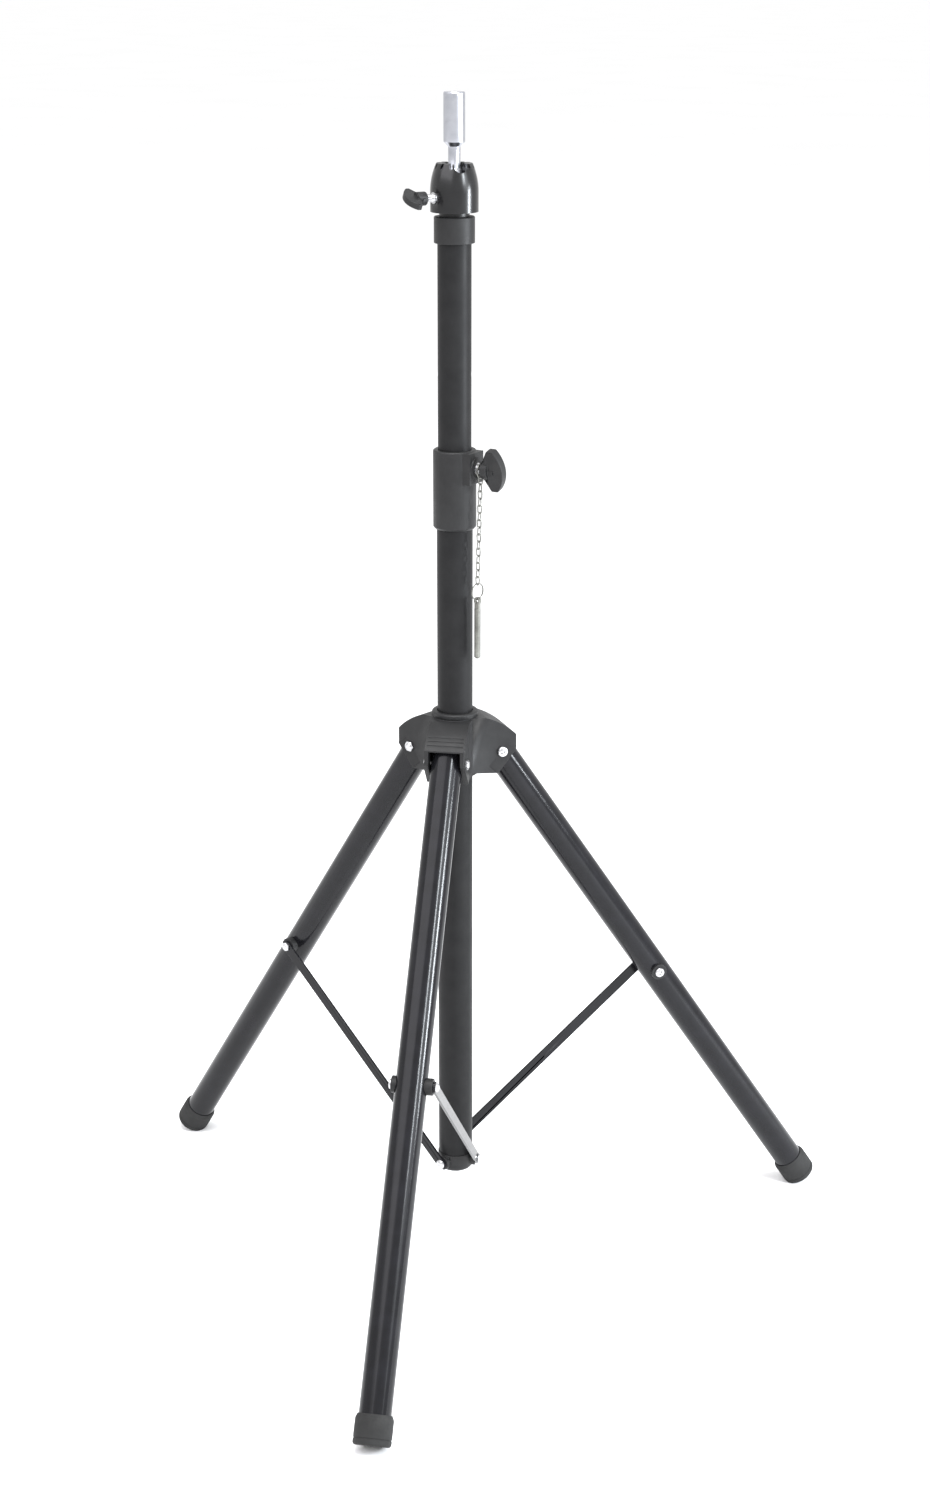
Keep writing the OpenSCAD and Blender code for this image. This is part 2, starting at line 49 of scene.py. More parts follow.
COLUMN_Y = 108.717
SPLAY = 33.95
PIVOT_R, PIVOT_Z = 46.9, 594.239
MID_R, MID_Z = 239.963, 307.472
BRACE_LEN, BRACE_ANGLE = 313.970, 49.8435
BRACE_AT, BRACE_IN, BRACE_OUT = 345.7, 23.5, 26.1
LEG_REACH, FOOT_R, FOOT_TOP = 706.0, 19.6, -675.0
CLAMP_AZIMUTH, CLAMP_Z = -20.0, 907.0
HEAD_AZIMUTH, HOUSING_Z = 223.0, 1168.5
HEAD_SCREW_Z, BALL_Z = HOUSING_Z + 14.8, HOUSING_Z + 35.0
TOP_COLLAR_Z = 1137.4
HUB_AZIMUTH, HUB_SCREW_Z, ARM_HALF = 90.0, 588.0, 21.5
HANG_AZIMUTH, HANG_AT = -30.0, 31.6
LOOP_AT, LOOP_R, LOOP_WIRE = 31.4, 7.3, 1.6
LOOP_Z = CLAMP_Z - 2.2
LINKS, PITCH, WIRE, LINK_LEN, LINK_W = 15, 7.6, 1.3, 10.5, 5.8
SPLIT_R, SPLIT_Z = 8.8, 776.83
SCREW_D, SCREW_PITCH = 8.0, 1.25
BOLT_D, SADDLE_OUT = 6.0, 20.5
BALL_R, PIN_R, PIN_NECK_R = 10.5, 11.0, 6.25
PIN_NECK_END, PIN_CONE_END, PIN_TOP = 29.5, 34.25, 83.05


# ---- places, as the CAD source has them ----

def move(x=0.0, y=0.0, z=0.0):
    return Matrix.Translation((x, y, z))


def turn(axis, degrees):
    return Matrix.Rotation(math.radians(degrees), 4, axis)


def at_azimuth(a, z=0.0):
    return move(0, COLUMN_Y) @ turn("Z", a) @ move(0, 0, z)


def at_leg(i):
    return at_azimuth(120 * (i - 1) - 90)


def along_leg(i):
    return at_leg(i) @ move(PIVOT_R, 0, PIVOT_Z) @ turn("Y", -SPLAY)


def along_brace(i):
    return at_leg(i) @ move(MID_R, 0, MID_Z) @ turn("Y", BRACE_ANGLE)


TO_Y = turn("X", -90)    # lays a shape made about Z along Y
TO_MINUS_Y = turn("X", 90)


# ---- materials ----

def new_material(name):
    mat = bpy.data.materials.new(name)
    mat.use_nodes = True
    tree = mat.node_tree
    bsdf = next(n for n in tree.nodes if n.type == "BSDF_PRINCIPLED")
    return mat, tree, bsdf


def noise(tree, coords, scale, detail=4.0, rough=0.55, stretch=None):
    """A noise texture in the object's own coordinates; stretch scales its three axes."""
    if stretch:
        mapping = tree.nodes.new("ShaderNodeMapping")
        mapping.inputs["Scale"].default_value = stretch
        tree.links.new(coords, mapping.inputs["Vector"])
        coords = mapping.outputs["Vector"]
    node = tree.nodes.new("ShaderNodeTexNoise")
    node.inputs["Scale"].default_value = scale
    node.inputs["Detail"].default_value = detail
    node.inputs["Roughness"].default_value = rough
    tree.links.new(coords, node.inputs["Vector"])
    return node.outputs["Fac"]


def spread(tree, value, low, high, start=0.3, end=0.7):
    """Maps a texture's usual span to low..high."""
    node = tree.nodes.new("ShaderNodeMapRange")
    node.inputs["From Min"].default_value = start
    node.inputs["From Max"].default_value = end
    node.inputs["To Min"].default_value = low
    node.inputs["To Max"].default_value = high
    tree.links.new(value, node.inputs["Value"])
    return node.outputs["Result"]


def blended(tree, factor, first, second):
    """Colour between first and second by factor. Each is a colour or another node's output."""
    node = tree.nodes.new("ShaderNodeMix")
    node.data_type = "RGBA"
    tree.links.new(factor, node.inputs[0])
    for socket, colour in ((node.inputs[6], first), (node.inputs[7], second)):
        if isinstance(colour, tuple):
            socket.default_value = (*colour, 1)
        else:
            tree.links.new(colour, socket)
    return node.outputs[2]


def bumped(tree, bsdf, *layers):
    """Stacks bump layers (height, strength, distance in metres) on the shader's normal."""
    before = None
    for height, strength, distance in layers:
        node = tree.nodes.new("ShaderNodeBump")
        node.inputs["Strength"].default_value = strength
        node.inputs["Distance"].default_value = distance
        tree.links.new(height, node.inputs["Height"])
        if before:
            tree.links.new(before, node.inputs["Normal"])
        before = node.outputs["Normal"]
    tree.links.new(before, bsdf.inputs["Normal"])


def coat_material(name, dark, light, rough, specular=0.4, grain=700, grain_strength=0.12,
                  peel=150, peel_strength=0.05, dust=None):
    """Paint, powder coat, moulded plastic or rubber: mottled colour, uneven gloss, fine grain."""
    mat, tree, bsdf = new_material(name)
    coords = tree.nodes.new("ShaderNodeTexCoord").outputs["Object"]
    mottle = spread(tree, noise(tree, coords, 60), 0, 1)
    colour = blended(tree, mottle, dark, light)
    fine = noise(tree, coords, grain, detail=6, rough=0.65)
    speck = spread(tree, fine, 0, 1, 0.62, 0.75)
    colour = blended(tree, speck, colour, tuple(min(1.0, 1.6 * c + 0.006) for c in light))
    if dust:
        settled = spread(tree, noise(tree, coords, 18, detail=8, rough=0.7), 0, 0.5, 0.5, 0.75)
        colour = blended(tree, settled, colour, dust)
    tree.links.new(colour, bsdf.inputs["Base Color"])
    gloss = spread(tree, noise(tree, coords, 35, detail=5), rough[0], rough[1])
    tree.links.new(gloss, bsdf.inputs["Roughness"])
    bsdf.inputs["Specular IOR Level"].default_value = specular
    bumped(tree, bsdf, (noise(tree, coords, peel, detail=2), peel_strength, 0.0008),
           (fine, grain_strength, 0.0003))
    return mat


def metal_material(name, dark, light, rough, stretch=(1, 1, 1), marks=900, mark_strength=0.1,
                   axis=None, rings=0.0, aniso=0.0):
    """Bare or plated metal with fine machining marks, faint stains and uneven polish."""
    mat, tree, bsdf = new_material(name)
    coords = tree.nodes.new("ShaderNodeTexCoord").outputs["Object"]
    stain = spread(tree, noise(tree, coords, 90, detail=6, rough=0.6), 0, 1)
    colour = blended(tree, stain, dark, light)
    fine = noise(tree, coords, marks, detail=5, rough=0.6, stretch=stretch)
    tarnish = spread(tree, noise(tree, coords, 420, detail=8, rough=0.75), 0, 0.35, 0.6, 0.8)
    colour = blended(tree, tarnish, colour, tuple(0.55 * c for c in dark))
    tree.links.new(colour, bsdf.inputs["Base Color"])
    bsdf.inputs["Metallic"].default_value = 1.0
    bsdf.inputs["Anisotropic"].default_value = aniso
    gloss = spread(tree, fine, rough[0], rough[1])
    tree.links.new(gloss, bsdf.inputs["Roughness"])
    layers = [(fine, mark_strength, 0.0002)]
    if rings:
        wave = tree.nodes.new("ShaderNodeTexWave")
        wave.wave_type = "BANDS"
        wave.bands_direction = axis
        wave.inputs["Scale"].default_value = rings
        wave.inputs["Distortion"].default_value = 1.5
        wave.inputs["Detail"].default_value = 3
        tree.links.new(coords, wave.inputs["Vector"])
        layers.append((wave.outputs["Fac"], mark_strength, 0.0001))
    bumped(tree, bsdf, *layers)
    return mat


MATERIALS = {
    "tube_black": coat_material(
        "tube_black", (0.0055, 0.0055, 0.0065), (0.0085, 0.0085, 0.0105), (0.13, 0.17),
        specular=0.21, grain=1100, grain_strength=0.06, peel=220, peel_strength=0.03),
    "mast_black": coat_material(
        "mast_black", (0.009, 0.009, 0.0095), (0.0125, 0.0125, 0.013), (0.42, 0.5),
        specular=0.13, grain=1200, grain_strength=0.1, peel=240, peel_strength=0.04),
    "plastic_black": coat_material(
        "plastic_black", (0.0095, 0.0095, 0.01), (0.0145, 0.0145, 0.015), (0.4, 0.52),
        specular=0.26, grain=1500, grain_strength=0.35, peel=90, peel_strength=0.06),
    "gloss_black": coat_material(
        "gloss_black", (0.004, 0.004, 0.0045), (0.0065, 0.0065, 0.007), (0.2, 0.26),
        specular=0.42, grain=900, grain_strength=0.04, peel=130, peel_strength=0.05),
    "rubber": coat_material(
        "rubber", (0.012, 0.012, 0.012), (0.019, 0.019, 0.019), (0.68, 0.85), specular=0.3,
        grain=1300, grain_strength=0.45, dust=(0.04, 0.04, 0.038)),
    "stem_black": coat_material(
        "stem_black", (0.006, 0.006, 0.0065), (0.010, 0.010, 0.0105), (0.28, 0.4),
        specular=0.35, grain=1000, grain_strength=0.12),
    "nylon": coat_material(
        "nylon", (0.62, 0.61, 0.57), (0.74, 0.73, 0.69), (0.42, 0.55), grain=900),
    "bright_steel": metal_material(
        "bright_steel", (0.46, 0.46, 0.47), (0.6, 0.6, 0.61), (0.2, 0.34)),
    "zinc_chain": metal_material(
        "zinc_chain", (0.13, 0.13, 0.12), (0.24, 0.24, 0.22), (0.25, 0.4)),
    "pin_aluminium": metal_material(
        "pin_aluminium", (0.4, 0.41, 0.45), (0.5, 0.51, 0.55), (0.2, 0.28),
        stretch=(0.15, 0.15, 6), mark_strength=0.14, axis="Z", rings=900, aniso=0.35),
    "insert_brass": metal_material(
        "insert_brass", (0.55, 0.38, 0.14), (0.68, 0.5, 0.22), (0.25, 0.4)),
}


# ---- mesh tools ----

def smooth_piece(name, mesh, body, nodes, slot, sharp=32):
    obj = bpy.data.objects.new(name, mesh)
    scene.collection.objects.link(obj)
    mesh.shade_smooth()
    mesh.set_sharp_from_angle(angle=math.radians(sharp))
    mesh.materials.clear()
    mesh.materials.append(MATERIALS[slot])
    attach(obj, body)
    if nodes:
        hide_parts(*nodes)
    return obj


def piece(name, bm, body, nodes, slot, sharp=32):
    """Makes bm, in millimetres, a piece that rides on body and stands for CAD nodes."""
    bm.transform(Matrix.Scale(MM, 4))
    bmesh.ops.recalc_face_normals(bm, faces=bm.faces)
    mesh = bpy.data.meshes.new(name)
    bm.to_mesh(mesh)
    bm.free()
    return smooth_piece(name, mesh, body, nodes, slot, sharp)


def rounded(points, steps=4, closed=False):
    """Polyline with rounded corners. A point is (x, y) or (x, y, radius)."""
    out = []
    count = len(points)
    for k, p in enumerate(points):
        here = Vector(p[:2])
        radius = p[2] if len(p) > 2 else 0.0
        if radius <= 0 or (not closed and k in (0, count - 1)):
            out.append(tuple(here))
            continue
        before, after = Vector(points[k - 1][:2]), Vector(points[(k + 1) % count][:2])
        a, b = (before - here).normalized(), (after - here).normalized()
        half = math.acos(max(-1.0, min(1.0, a.dot(b)))) / 2
        reach = min(radius / math.tan(half), 0.49 * (before - here).length,
                    0.49 * (after - here).length)
        radius = reach * math.tan(half)
        centre = here + (a + b).normalized() * (radius / math.sin(half))
        start, end = here + a * reach - centre, here + b * reach - centre
        sweep = start.angle_signed(end)
        for s in range(steps + 1):
            arm = start.copy()
            arm.rotate(Matrix.Rotation(-sweep * s / steps, 2))
            out.append(tuple(centre + arm))
    return out


def lathe(profile, matrix=Matrix(), steps=72, closed=False, bm=None):
    """Turns (radius, z) points about Z. A point on the axis closes the end."""
    bm = bm or bmesh.new()
    rings = []
    for r, z in profile:
        count = 1 if r < 1e-6 else steps
        rings.append([bm.verts.new(matrix @ Vector((
            r * math.cos(math.tau * k / steps), r * math.sin(math.tau * k / steps), z)))
            for k in range(count)])
    pairs = list(zip(rings, rings[1:])) + ([(rings[-1], rings[0])] if closed else [])
    for a, b in pairs:
        for k in range(steps):
            n = (k + 1) % steps
            loop = [a[0 if len(a) == 1 else k], a[0 if len(a) == 1 else n],
                    b[0 if len(b) == 1 else n], b[0 if len(b) == 1 else k]]
            corners = list(dict.fromkeys(loop))
            if len(corners) > 2:
                bm.faces.new(corners)
    return bm


def prism(outline, low, high, matrix=Matrix()):
    """Solid over a closed outline in XY, from z = low to z = high."""
    bm = bmesh.new()
    bottom = [bm.verts.new(matrix @ Vector((x, y, low))) for x, y in outline]
    top = [bm.verts.new(matrix @ Vector((x, y, high))) for x, y in outline]
    bm.faces.new(list(reversed(bottom)))
    bm.faces.new(top)
    for k in range(len(outline)):
        n = (k + 1) % len(outline)
        bm.faces.new((bottom[k], bottom[n], top[n], top[k]))
    return bm


def joined(bm, other, operation="UNION"):
    """Boolean of two closed meshes."""
    objects = []
    for part in (bm, other):
        bmesh.ops.recalc_face_normals(part, faces=part.faces)
        mesh = bpy.data.meshes.new("tool")
        part.to_mesh(mesh)
        part.free()
        obj = bpy.data.objects.new("tool", mesh)
        scene.collection.objects.link(obj)
        objects.append(obj)
    modifier = objects[0].modifiers.new("boolean", "BOOLEAN")
    modifier.object = objects[1]
    modifier.operation = operation
    modifier.solver = "EXACT"
    bpy.context.view_layer.update()
    evaluated = objects[0].evaluated_get(bpy.context.evaluated_depsgraph_get())
    out = bmesh.new()
    out.from_mesh(evaluated.to_mesh())
    evaluated.to_mesh_clear()
    for obj in objects:
        mesh = obj.data
        bpy.data.objects.remove(obj)
        bpy.data.meshes.remove(mesh)
    return out


def copied(bm, matrix, into=None):
    """A copy of bm moved by matrix, added to into."""
    out = into or bmesh.new()
    verts = {v: out.verts.new(matrix @ v.co) for v in bm.verts}
    for f in bm.faces:
        out.faces.new([verts[v] for v in f.verts])
    return out


def sweep(path, radius, sides=12, closed=False, bm=None):
    """Round wire along a path of points."""
    bm = bm or bmesh.new()
    count = len(path)
    tangents = []
    for k in range(count):
        a = path[k - 1] if closed or k else path[k]
        b = path[(k + 1) % count] if closed or k < count - 1 else path[k]
        tangents.append((b - a).normalized())
    side = tangents[0].orthogonal().normalized()
    rings = []
    for k in range(count):
        side = (side - tangents[k] * side.dot(tangents[k])).normalized()
        up = tangents[k].cross(side)
        rings.append([bm.verts.new(path[k] + radius * (
            side * math.cos(math.tau * s / sides) + up * math.sin(math.tau * s / sides)))
            for s in range(sides)])
    last = rings[-1]
    for a, b in zip(rings, rings[1:]):
        for s in range(sides):
            n = (s + 1) % sides
            bm.faces.new((a[s], a[n], b[n], b[s]))
    if closed:
        shift = min(range(sides), key=lambda s: (last[0].co - rings[0][s].co).length)
        for s in range(sides):
            n = (s + 1) % sides
            bm.faces.new((last[s], last[n], rings[0][(n + shift) % sides],
                          rings[0][(s + shift) % sides]))
    else:
        bm.faces.new(list(reversed(rings[0])))
        bm.faces.new(last)
    return bm


THREAD_END = 0.86        # a thread's chamfered end, as a share of its diameter


def threaded(start, end, diameter, pitch, matrix, sides=36, per_turn=8, depth=0.5):
    """A screw thread along X from start to end, run out to plain shank at both ends."""
    def ring_at(x, radius_at):
        return [matrix @ Vector((x, radius_at(s) * math.cos(math.tau * s / sides),
                                 radius_at(s) * math.sin(math.tau * s / sides)))
                for s in range(sides)]

    bm = bmesh.new()
    rings = []
    count = max(2, int((end - start) / pitch * per_turn))
    for k in range(count + 1):
        x = start + (end - start) * k / count
        fade = max(0.0, min(1.0, (x - start) / pitch, (end - x) / pitch))

        def radius_at(s):
            phase = (x / pitch - s / sides) % 1.0
            return diameter / 2 - depth * fade * max(0.0, 1 - abs(phase - 0.5) / 0.38)

        rings.append([bm.verts.new(p) for p in ring_at(x, radius_at)])
    for a, b in zip(rings, rings[1:]):
        for s in range(sides):
            n = (s + 1) % sides
            bm.faces.new((a[s], a[n], b[n], b[s]))
    for ring, x in ((rings[0], start - 0.4), (rings[-1], end + 0.4)):
        inner = [bm.verts.new(p) for p in ring_at(x, lambda s: THREAD_END * diameter / 2)]
        for s in range(sides):
            n = (s + 1) % sides
            bm.faces.new((ring[s], ring[n], inner[n], inner[s]))
        bm.faces.new(inner)
    return bm


WIDE_FACE = 30           # a flat face with more corners than this tears when its rim is rounded


def softened(node, name, body, slot, width, segments=2, angle=35, sharp=40, added=None):
    """A CAD node's shape, and what is added to it, with rounded edges, standing for that node."""
    bm = bmesh.new()
    bm.from_mesh(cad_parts[node].data)
    if added:
        copied(added, Matrix.Scale(MM, 4), bm)
    bmesh.ops.remove_doubles(bm, verts=bm.verts, dist=2e-6)
    bmesh.ops.dissolve_limit(bm, angle_limit=math.radians(0.4), verts=bm.verts, edges=bm.edges)
    bmesh.ops.triangulate(bm, faces=[f for f in bm.faces if len(f.verts) > WIDE_FACE])
    mesh = bpy.data.meshes.new(name)
    bm.to_mesh(mesh)
    bm.free()
    obj = smooth_piece(name, mesh, body, [node], slot, sharp)
    bevel = obj.modifiers.new("bevel", "BEVEL")
    bevel.limit_method = "ANGLE"
    bevel.angle_limit = math.radians(angle)
    bevel.width = width * MM
    bevel.segments = segments
    bevel.use_clamp_overlap = False
    bevel.harden_normals = True
    return obj


# ---- fixings ----

def pan_head(diameter, height):
    """Cross-recessed pan head standing on z = 0."""
    r = diameter / 2
    head = lathe(rounded([(0, 0), (r - 0.2, 0, 0.2), (r, 0.35 * height, 0.5),
                          (0.86 * r, 0.8 * height, 1.4), (0.4 * r, height, 1.2), (0, height)], 4),
                 steps=48)
    for a in (0, 90):
        slot = 0.62 * r
        outline = [(-slot, -0.09 * diameter), (slot, -0.09 * diameter),
                   (slot, 0.09 * diameter), (-slot, 0.09 * diameter)]
        tool = prism(outline, height - 1.5, height + 1, turn("Z", a + 20))
        for v in tool.verts:
            if v.co.z < height:
                v.co.x *= 0.45
                v.co.y *= 0.45
        head = joined(head, tool, "DIFFERENCE")
    return head


def hex_nut(diameter, height):
    """Low dome nut standing on z = 0: a chamfered hexagon with a domed cap."""
    r = diameter / 2
    hexagon = prism([(r * math.cos(math.radians(60 * k)), r * math.sin(math.radians(60 * k)))
                     for k in range(6)], 0, 0.62 * height)
    chamfer = lathe([(0, -0.01), (0.9 * r, -0.01), (r, 0.1 * height), (r, 0.4 * height),
                     (0.84 * r, 0.63 * height), (0, 0.63 * height)], steps=48)
    nut = joined(hexagon, chamfer, "INTERSECT")
    cap = lathe(rounded([(0, 0.3 * height), (0.66 * r, 0.3 * height), (0.66 * r, 0.72 * height, 0.4),
                         (0.4 * r, height, 1.0), (0, height)], 5), steps=40)
    return joined(nut, cap)


def fixing(name, shapes, body, node, slot="bright_steel"):
    """One piece from shapes placed by matrices."""
    bm = bmesh.new()
    for shape, matrix in shapes:
        copied(shape, matrix, bm)
    return piece(name, bm, body, [node], slot)


HEAD_12, HEAD_11 = pan_head(12, 3.4), pan_head(11, 3.2)
NUT_12, NUT_11 = hex_nut(12, 3.4), hex_nut(11, 3.2)


def shank(diameter, low, high):
    return lathe([(0, low), (diameter / 2, low), (diameter / 2, high), (0, high)], steps=32)


pivots = [at_leg(i) @ move(PIVOT_R, 0, PIVOT_Z) for i in (1, 2, 3)]
BOLT = shank(BOLT_D, -ARM_HALF - 0.1, ARM_HALF - 0.1)
fixing("pivot_bolt_set", [(HEAD_12, m @ move(0, -ARM_HALF) @ TO_MINUS_Y) for m in pivots]
       + [(BOLT, m @ TO_Y) for m in pivots], "hub", "pivot_bolts")
fixing("pivot_nut_set", [(NUT_12, m @ move(0, ARM_HALF) @ TO_Y) for m in pivots],
       "hub", "pivot_nuts")
for i in (1, 2, 3):
    mid = along_leg(i) @ move(0, 0, -BRACE_AT)
    fixing(f"mid_bolt_{i}", [(HEAD_11, mid @ move(0, -SADDLE_OUT) @ TO_MINUS_Y),
                             (shank(BOLT_D, -SADDLE_OUT - 0.1, BRACE_OUT + 0.1), mid @ TO_Y)],
           f"leg_{i}", f"brace_bolt_{i}")
    fixing(f"mid_nut_{i}", [(NUT_11, mid @ move(0, BRACE_OUT + 0.1) @ TO_Y)],
           f"leg_{i}", f"brace_nut_{i}")
    low = along_brace(i) @ move(0, 0, -BRACE_LEN)
    rivet = lathe(rounded([(0, 0), (5.3, 0, 0.2), (5.5, 0.8, 0.4), (4.6, 2.1, 1.4), (2.2, 3, 1.5),
                           (0.9, 3, 0.2), (0.8, 2.5, 0.2), (0, 2.5)], 5), steps=48)
    fixing(f"rivet_head_{i}", [(rivet, low @ move(0, BRACE_OUT) @ TO_Y),
                               (shank(BOLT_D, BRACE_IN, BRACE_OUT + 0.1), low @ TO_Y)],
           f"brace_{i}", f"foot_rivet_{i}")

# ---- screws: name, node, body, azimuth, height, and where the thread starts and ends ----

for name, node, body, azimuth, z, x0, x1 in (
        ("clamp_thread", "clamp_screw", "clamp_knob", CLAMP_AZIMUTH, CLAMP_Z, 20.9, 45.5),
        ("head_thread", "head_screw", "head_knob", HEAD_AZIMUTH, HEAD_SCREW_Z, 18.5, 43.4),
        ("hub_thread", "hub_screw", "hub_knob", HUB_AZIMUTH, HUB_SCREW_Z, 22.1, 41.5)):
    piece(name, threaded(x0, x1, SCREW_D, SCREW_PITCH, at_azimuth(azimuth, z)), body, [node],
          "bright_steel", sharp=50)

# ---- head pin: ball, neck, cone, shank and chamfer, turned from one bar ----

ball = [(BALL_R * math.sin(math.radians(a)), -BALL_R * math.cos(math.radians(a)))
        for a in range(0, 142, 4)]
ball[0] = (0, -BALL_R)
pin_profile = ball + rounded([
    (PIN_NECK_R, 9.2, 0.8), (PIN_NECK_R, PIN_NECK_END, 0.8), (PIN_R, PIN_CONE_END, 0.5),
    (PIN_R, PIN_TOP - 1.05, 0.35), (PIN_R - 0.8, PIN_TOP, 0.35), (3.2, PIN_TOP, 0.3),
    (0, PIN_TOP - 1.45)], 4)
piece("turned_head_pin", lathe(pin_profile, at_azimuth(0, BALL_Z), steps=96), "pin",
      ["head_pin"], "pin_aluminium")

# ---- collar under the head ----

CAP_R, CAP_H, CAP_BORE_R, CAP_NECK_R, CAP_STEP = 21.0, 26.7, 17.52, 15.53, 22.63
piece("mast_cap", lathe(rounded([
    (CAP_BORE_R, 0.0, 0.3), (CAP_R - 0.3, 0.0, 0.3), (CAP_R, 0.4, 0.2), (CAP_R, CAP_H - 0.9, 0.3),
    (CAP_R - 0.8, CAP_H, 0.4), (CAP_NECK_R, CAP_H, 0.3), (CAP_NECK_R, CAP_STEP),
    (CAP_BORE_R, CAP_STEP)], 3, closed=True), at_azimuth(0, TOP_COLLAR_Z), steps=96, closed=True),
    "mast", ["top_collar"], "plastic_black")

# ---- moulded and stamped parts that keep the CAD's shape, with rounded edges ----

# Each cheek of the hub flares outward along its slanted lower edge
CUT_LOW, CUT_HIGH, FLARE_WIDTH, FLARE = Vector((41.9, 570.4)), Vector((62.8, 595.9)), 14.0, 1.2
inward = Vector((CUT_LOW.y - CUT_HIGH.y, CUT_HIGH.x - CUT_LOW.x)).normalized() * FLARE_WIDTH
flares = bmesh.new()
for i in (1, 2, 3):
    for side in (-1, 1):
        base, lip = side * (ARM_HALF - 0.4), side * (ARM_HALF + FLARE)
        flush = side * (ARM_HALF - 0.05)
        sections = [[flares.verts.new(at_leg(i) @ Vector((at.x, y, at.y)))
                     for at, y in ((cut, base), (cut, lip), (cut + inward, flush),
                                   (cut + inward, base))] for cut in (CUT_LOW, CUT_HIGH)]
        flares.faces.new(sections[0])
        flares.faces.new(sections[1])
        for k in range(4):
            n = (k + 1) % 4
            flares.faces.new((sections[0][k], sections[0][n], sections[1][n], sections[1][k]))
bmesh.ops.recalc_face_normals(flares, faces=flares.faces)

softened("head_housing", "head_shell", "head", "gloss_black", 0.25, 2)
softened("leg_hub", "hub_moulding", "hub", "plastic_black", 0.4, 3, added=flares)
softened("clamp_collar", "collar_moulding", "column", "plastic_black", 0.3, 2)
softened("clamp_knob", "clamp_wing", "clamp_knob", "plastic_black", 1.1, 3)
softened("head_knob", "head_wing", "head_knob", "plastic_black", 0.6, 3)
softened("hub_knob", "hub_wing", "hub_knob", "plastic_black", 0.9, 3)
softened("column_foot", "column_plug", "column", "plastic_black", 0.5, 3)
softened("safety_pin", "safety_peg", "safety_pin", "zinc_chain", 0.3, 3)
for i in (1, 2, 3):
    softened(f"brace_{i}", f"brace_bar_{i}", f"brace_{i}", "tube_black", 0.45, 3)
    softened(f"brace_spacers_{i}", f"saddle_pair_{i}", f"leg_{i}", "plastic_black", 0.5, 2)

# ---- rubber feet: a cup with a sloped lip, a grip line and a rounded sole, cut flat below ----

FOOT_BORE_R, FOOT_LIP_R, GRIP_LINE = 16.85, 17.6, 0.6
for i in (1, 2, 3):
    low = -LEG_REACH
    foot = lathe(rounded([
        (0, low), (FOOT_R - 0.2, low, 3.8), (FOOT_R, low + 6.2, 0.4),
        (FOOT_R - GRIP_LINE, low + 6.7, 0.2), (FOOT_R - GRIP_LINE, low + 7.3, 0.2),
        (FOOT_R, low + 7.8, 0.4), (FOOT_R, FOOT_TOP - 4.6, 1.2), (FOOT_LIP_R, FOOT_TOP, 0.5),
        (FOOT_BORE_R, FOOT_TOP, 0.3), (FOOT_BORE_R, low + 4), (0, low + 4)], 5),
        along_leg(i), steps=96)
    bmesh.ops.recalc_face_normals(foot, faces=foot.faces)
    cut = bmesh.ops.bisect_plane(foot, geom=foot.verts[:] + foot.edges[:] + foot.faces[:],
                                 plane_co=(0, 0, 0), plane_no=(0, 0, -1), clear_outer=True)
    rim = [g for g in cut["geom_cut"] if isinstance(g, bmesh.types.BMEdge)]
    bmesh.ops.edgeloop_fill(foot, edges=rim)
    piece(f"foot_cup_{i}", foot, f"leg_{i}", [f"rubber_foot_{i}"], "rubber")

# ---- safety chain ----

loop_place = at_azimuth(CLAMP_AZIMUTH) @ move(LOOP_AT, 0, LOOP_Z)
loop_path = [loop_place @ Vector((0.12 * math.sin(2 * a), LOOP_R * math.cos(a),
                                  LOOP_R * math.sin(a)))
             for a in (math.tau * k / 64 for k in range(64))]
piece("wire_loop", sweep(loop_path, LOOP_WIRE / 2, closed=True), "chain", ["chain_loop"],
      "zinc_chain")

clamp_a, hang_a = math.radians(CLAMP_AZIMUTH), math.radians(HANG_AZIMUTH)
chain_top = Vector((LOOP_AT * math.cos(clamp_a), LOOP_AT * math.sin(clamp_a) + COLUMN_Y,
                    LOOP_Z - LOOP_R + LOOP_WIRE / 2 + 0.15))
span = LINKS * PITCH + WIRE + 0.3
lean = Vector((HANG_AT * math.cos(hang_a), HANG_AT * math.sin(hang_a) + COLUMN_Y, chain_top.z))
drop = math.sqrt(span ** 2 - (chain_top - lean).length ** 2)
chain_end = lean - Vector((0, 0, drop))
chain_bm = bmesh.new()
bend = LINK_W / 2 - WIRE / 2
straight = LINK_LEN / 2 - LINK_W / 2
POINTS, TWIST = 40, 12   # to a link, and each link's twist in degrees
for k in range(LINKS):
    along = k / (LINKS - 1)
    middle = -LINK_LEN / 2 + WIRE + 0.3 - k * PITCH
    centre = chain_top + (chain_end - chain_top) * (-middle / span)
    facing = (1 - along) * CLAMP_AZIMUTH + along * HANG_AZIMUTH + 90 * (k % 2)
    path = []
    for s in range(POINTS):
        a = math.tau * (s + 0.5) / POINTS
        x = bend * math.cos(a)
        z = bend * math.sin(a) + math.copysign(straight, math.sin(a))
        twist = math.radians(TWIST * z / (LINK_LEN / 2))
        path.append(move(*centre) @ turn("Z", facing)
                    @ Vector((x * math.cos(twist), x * math.sin(twist), z)))
    sweep(path, WIRE / 2, sides=10, closed=True, bm=chain_bm)
piece("chain_run", chain_bm, "chain", ["chain_links"], "zinc_chain")

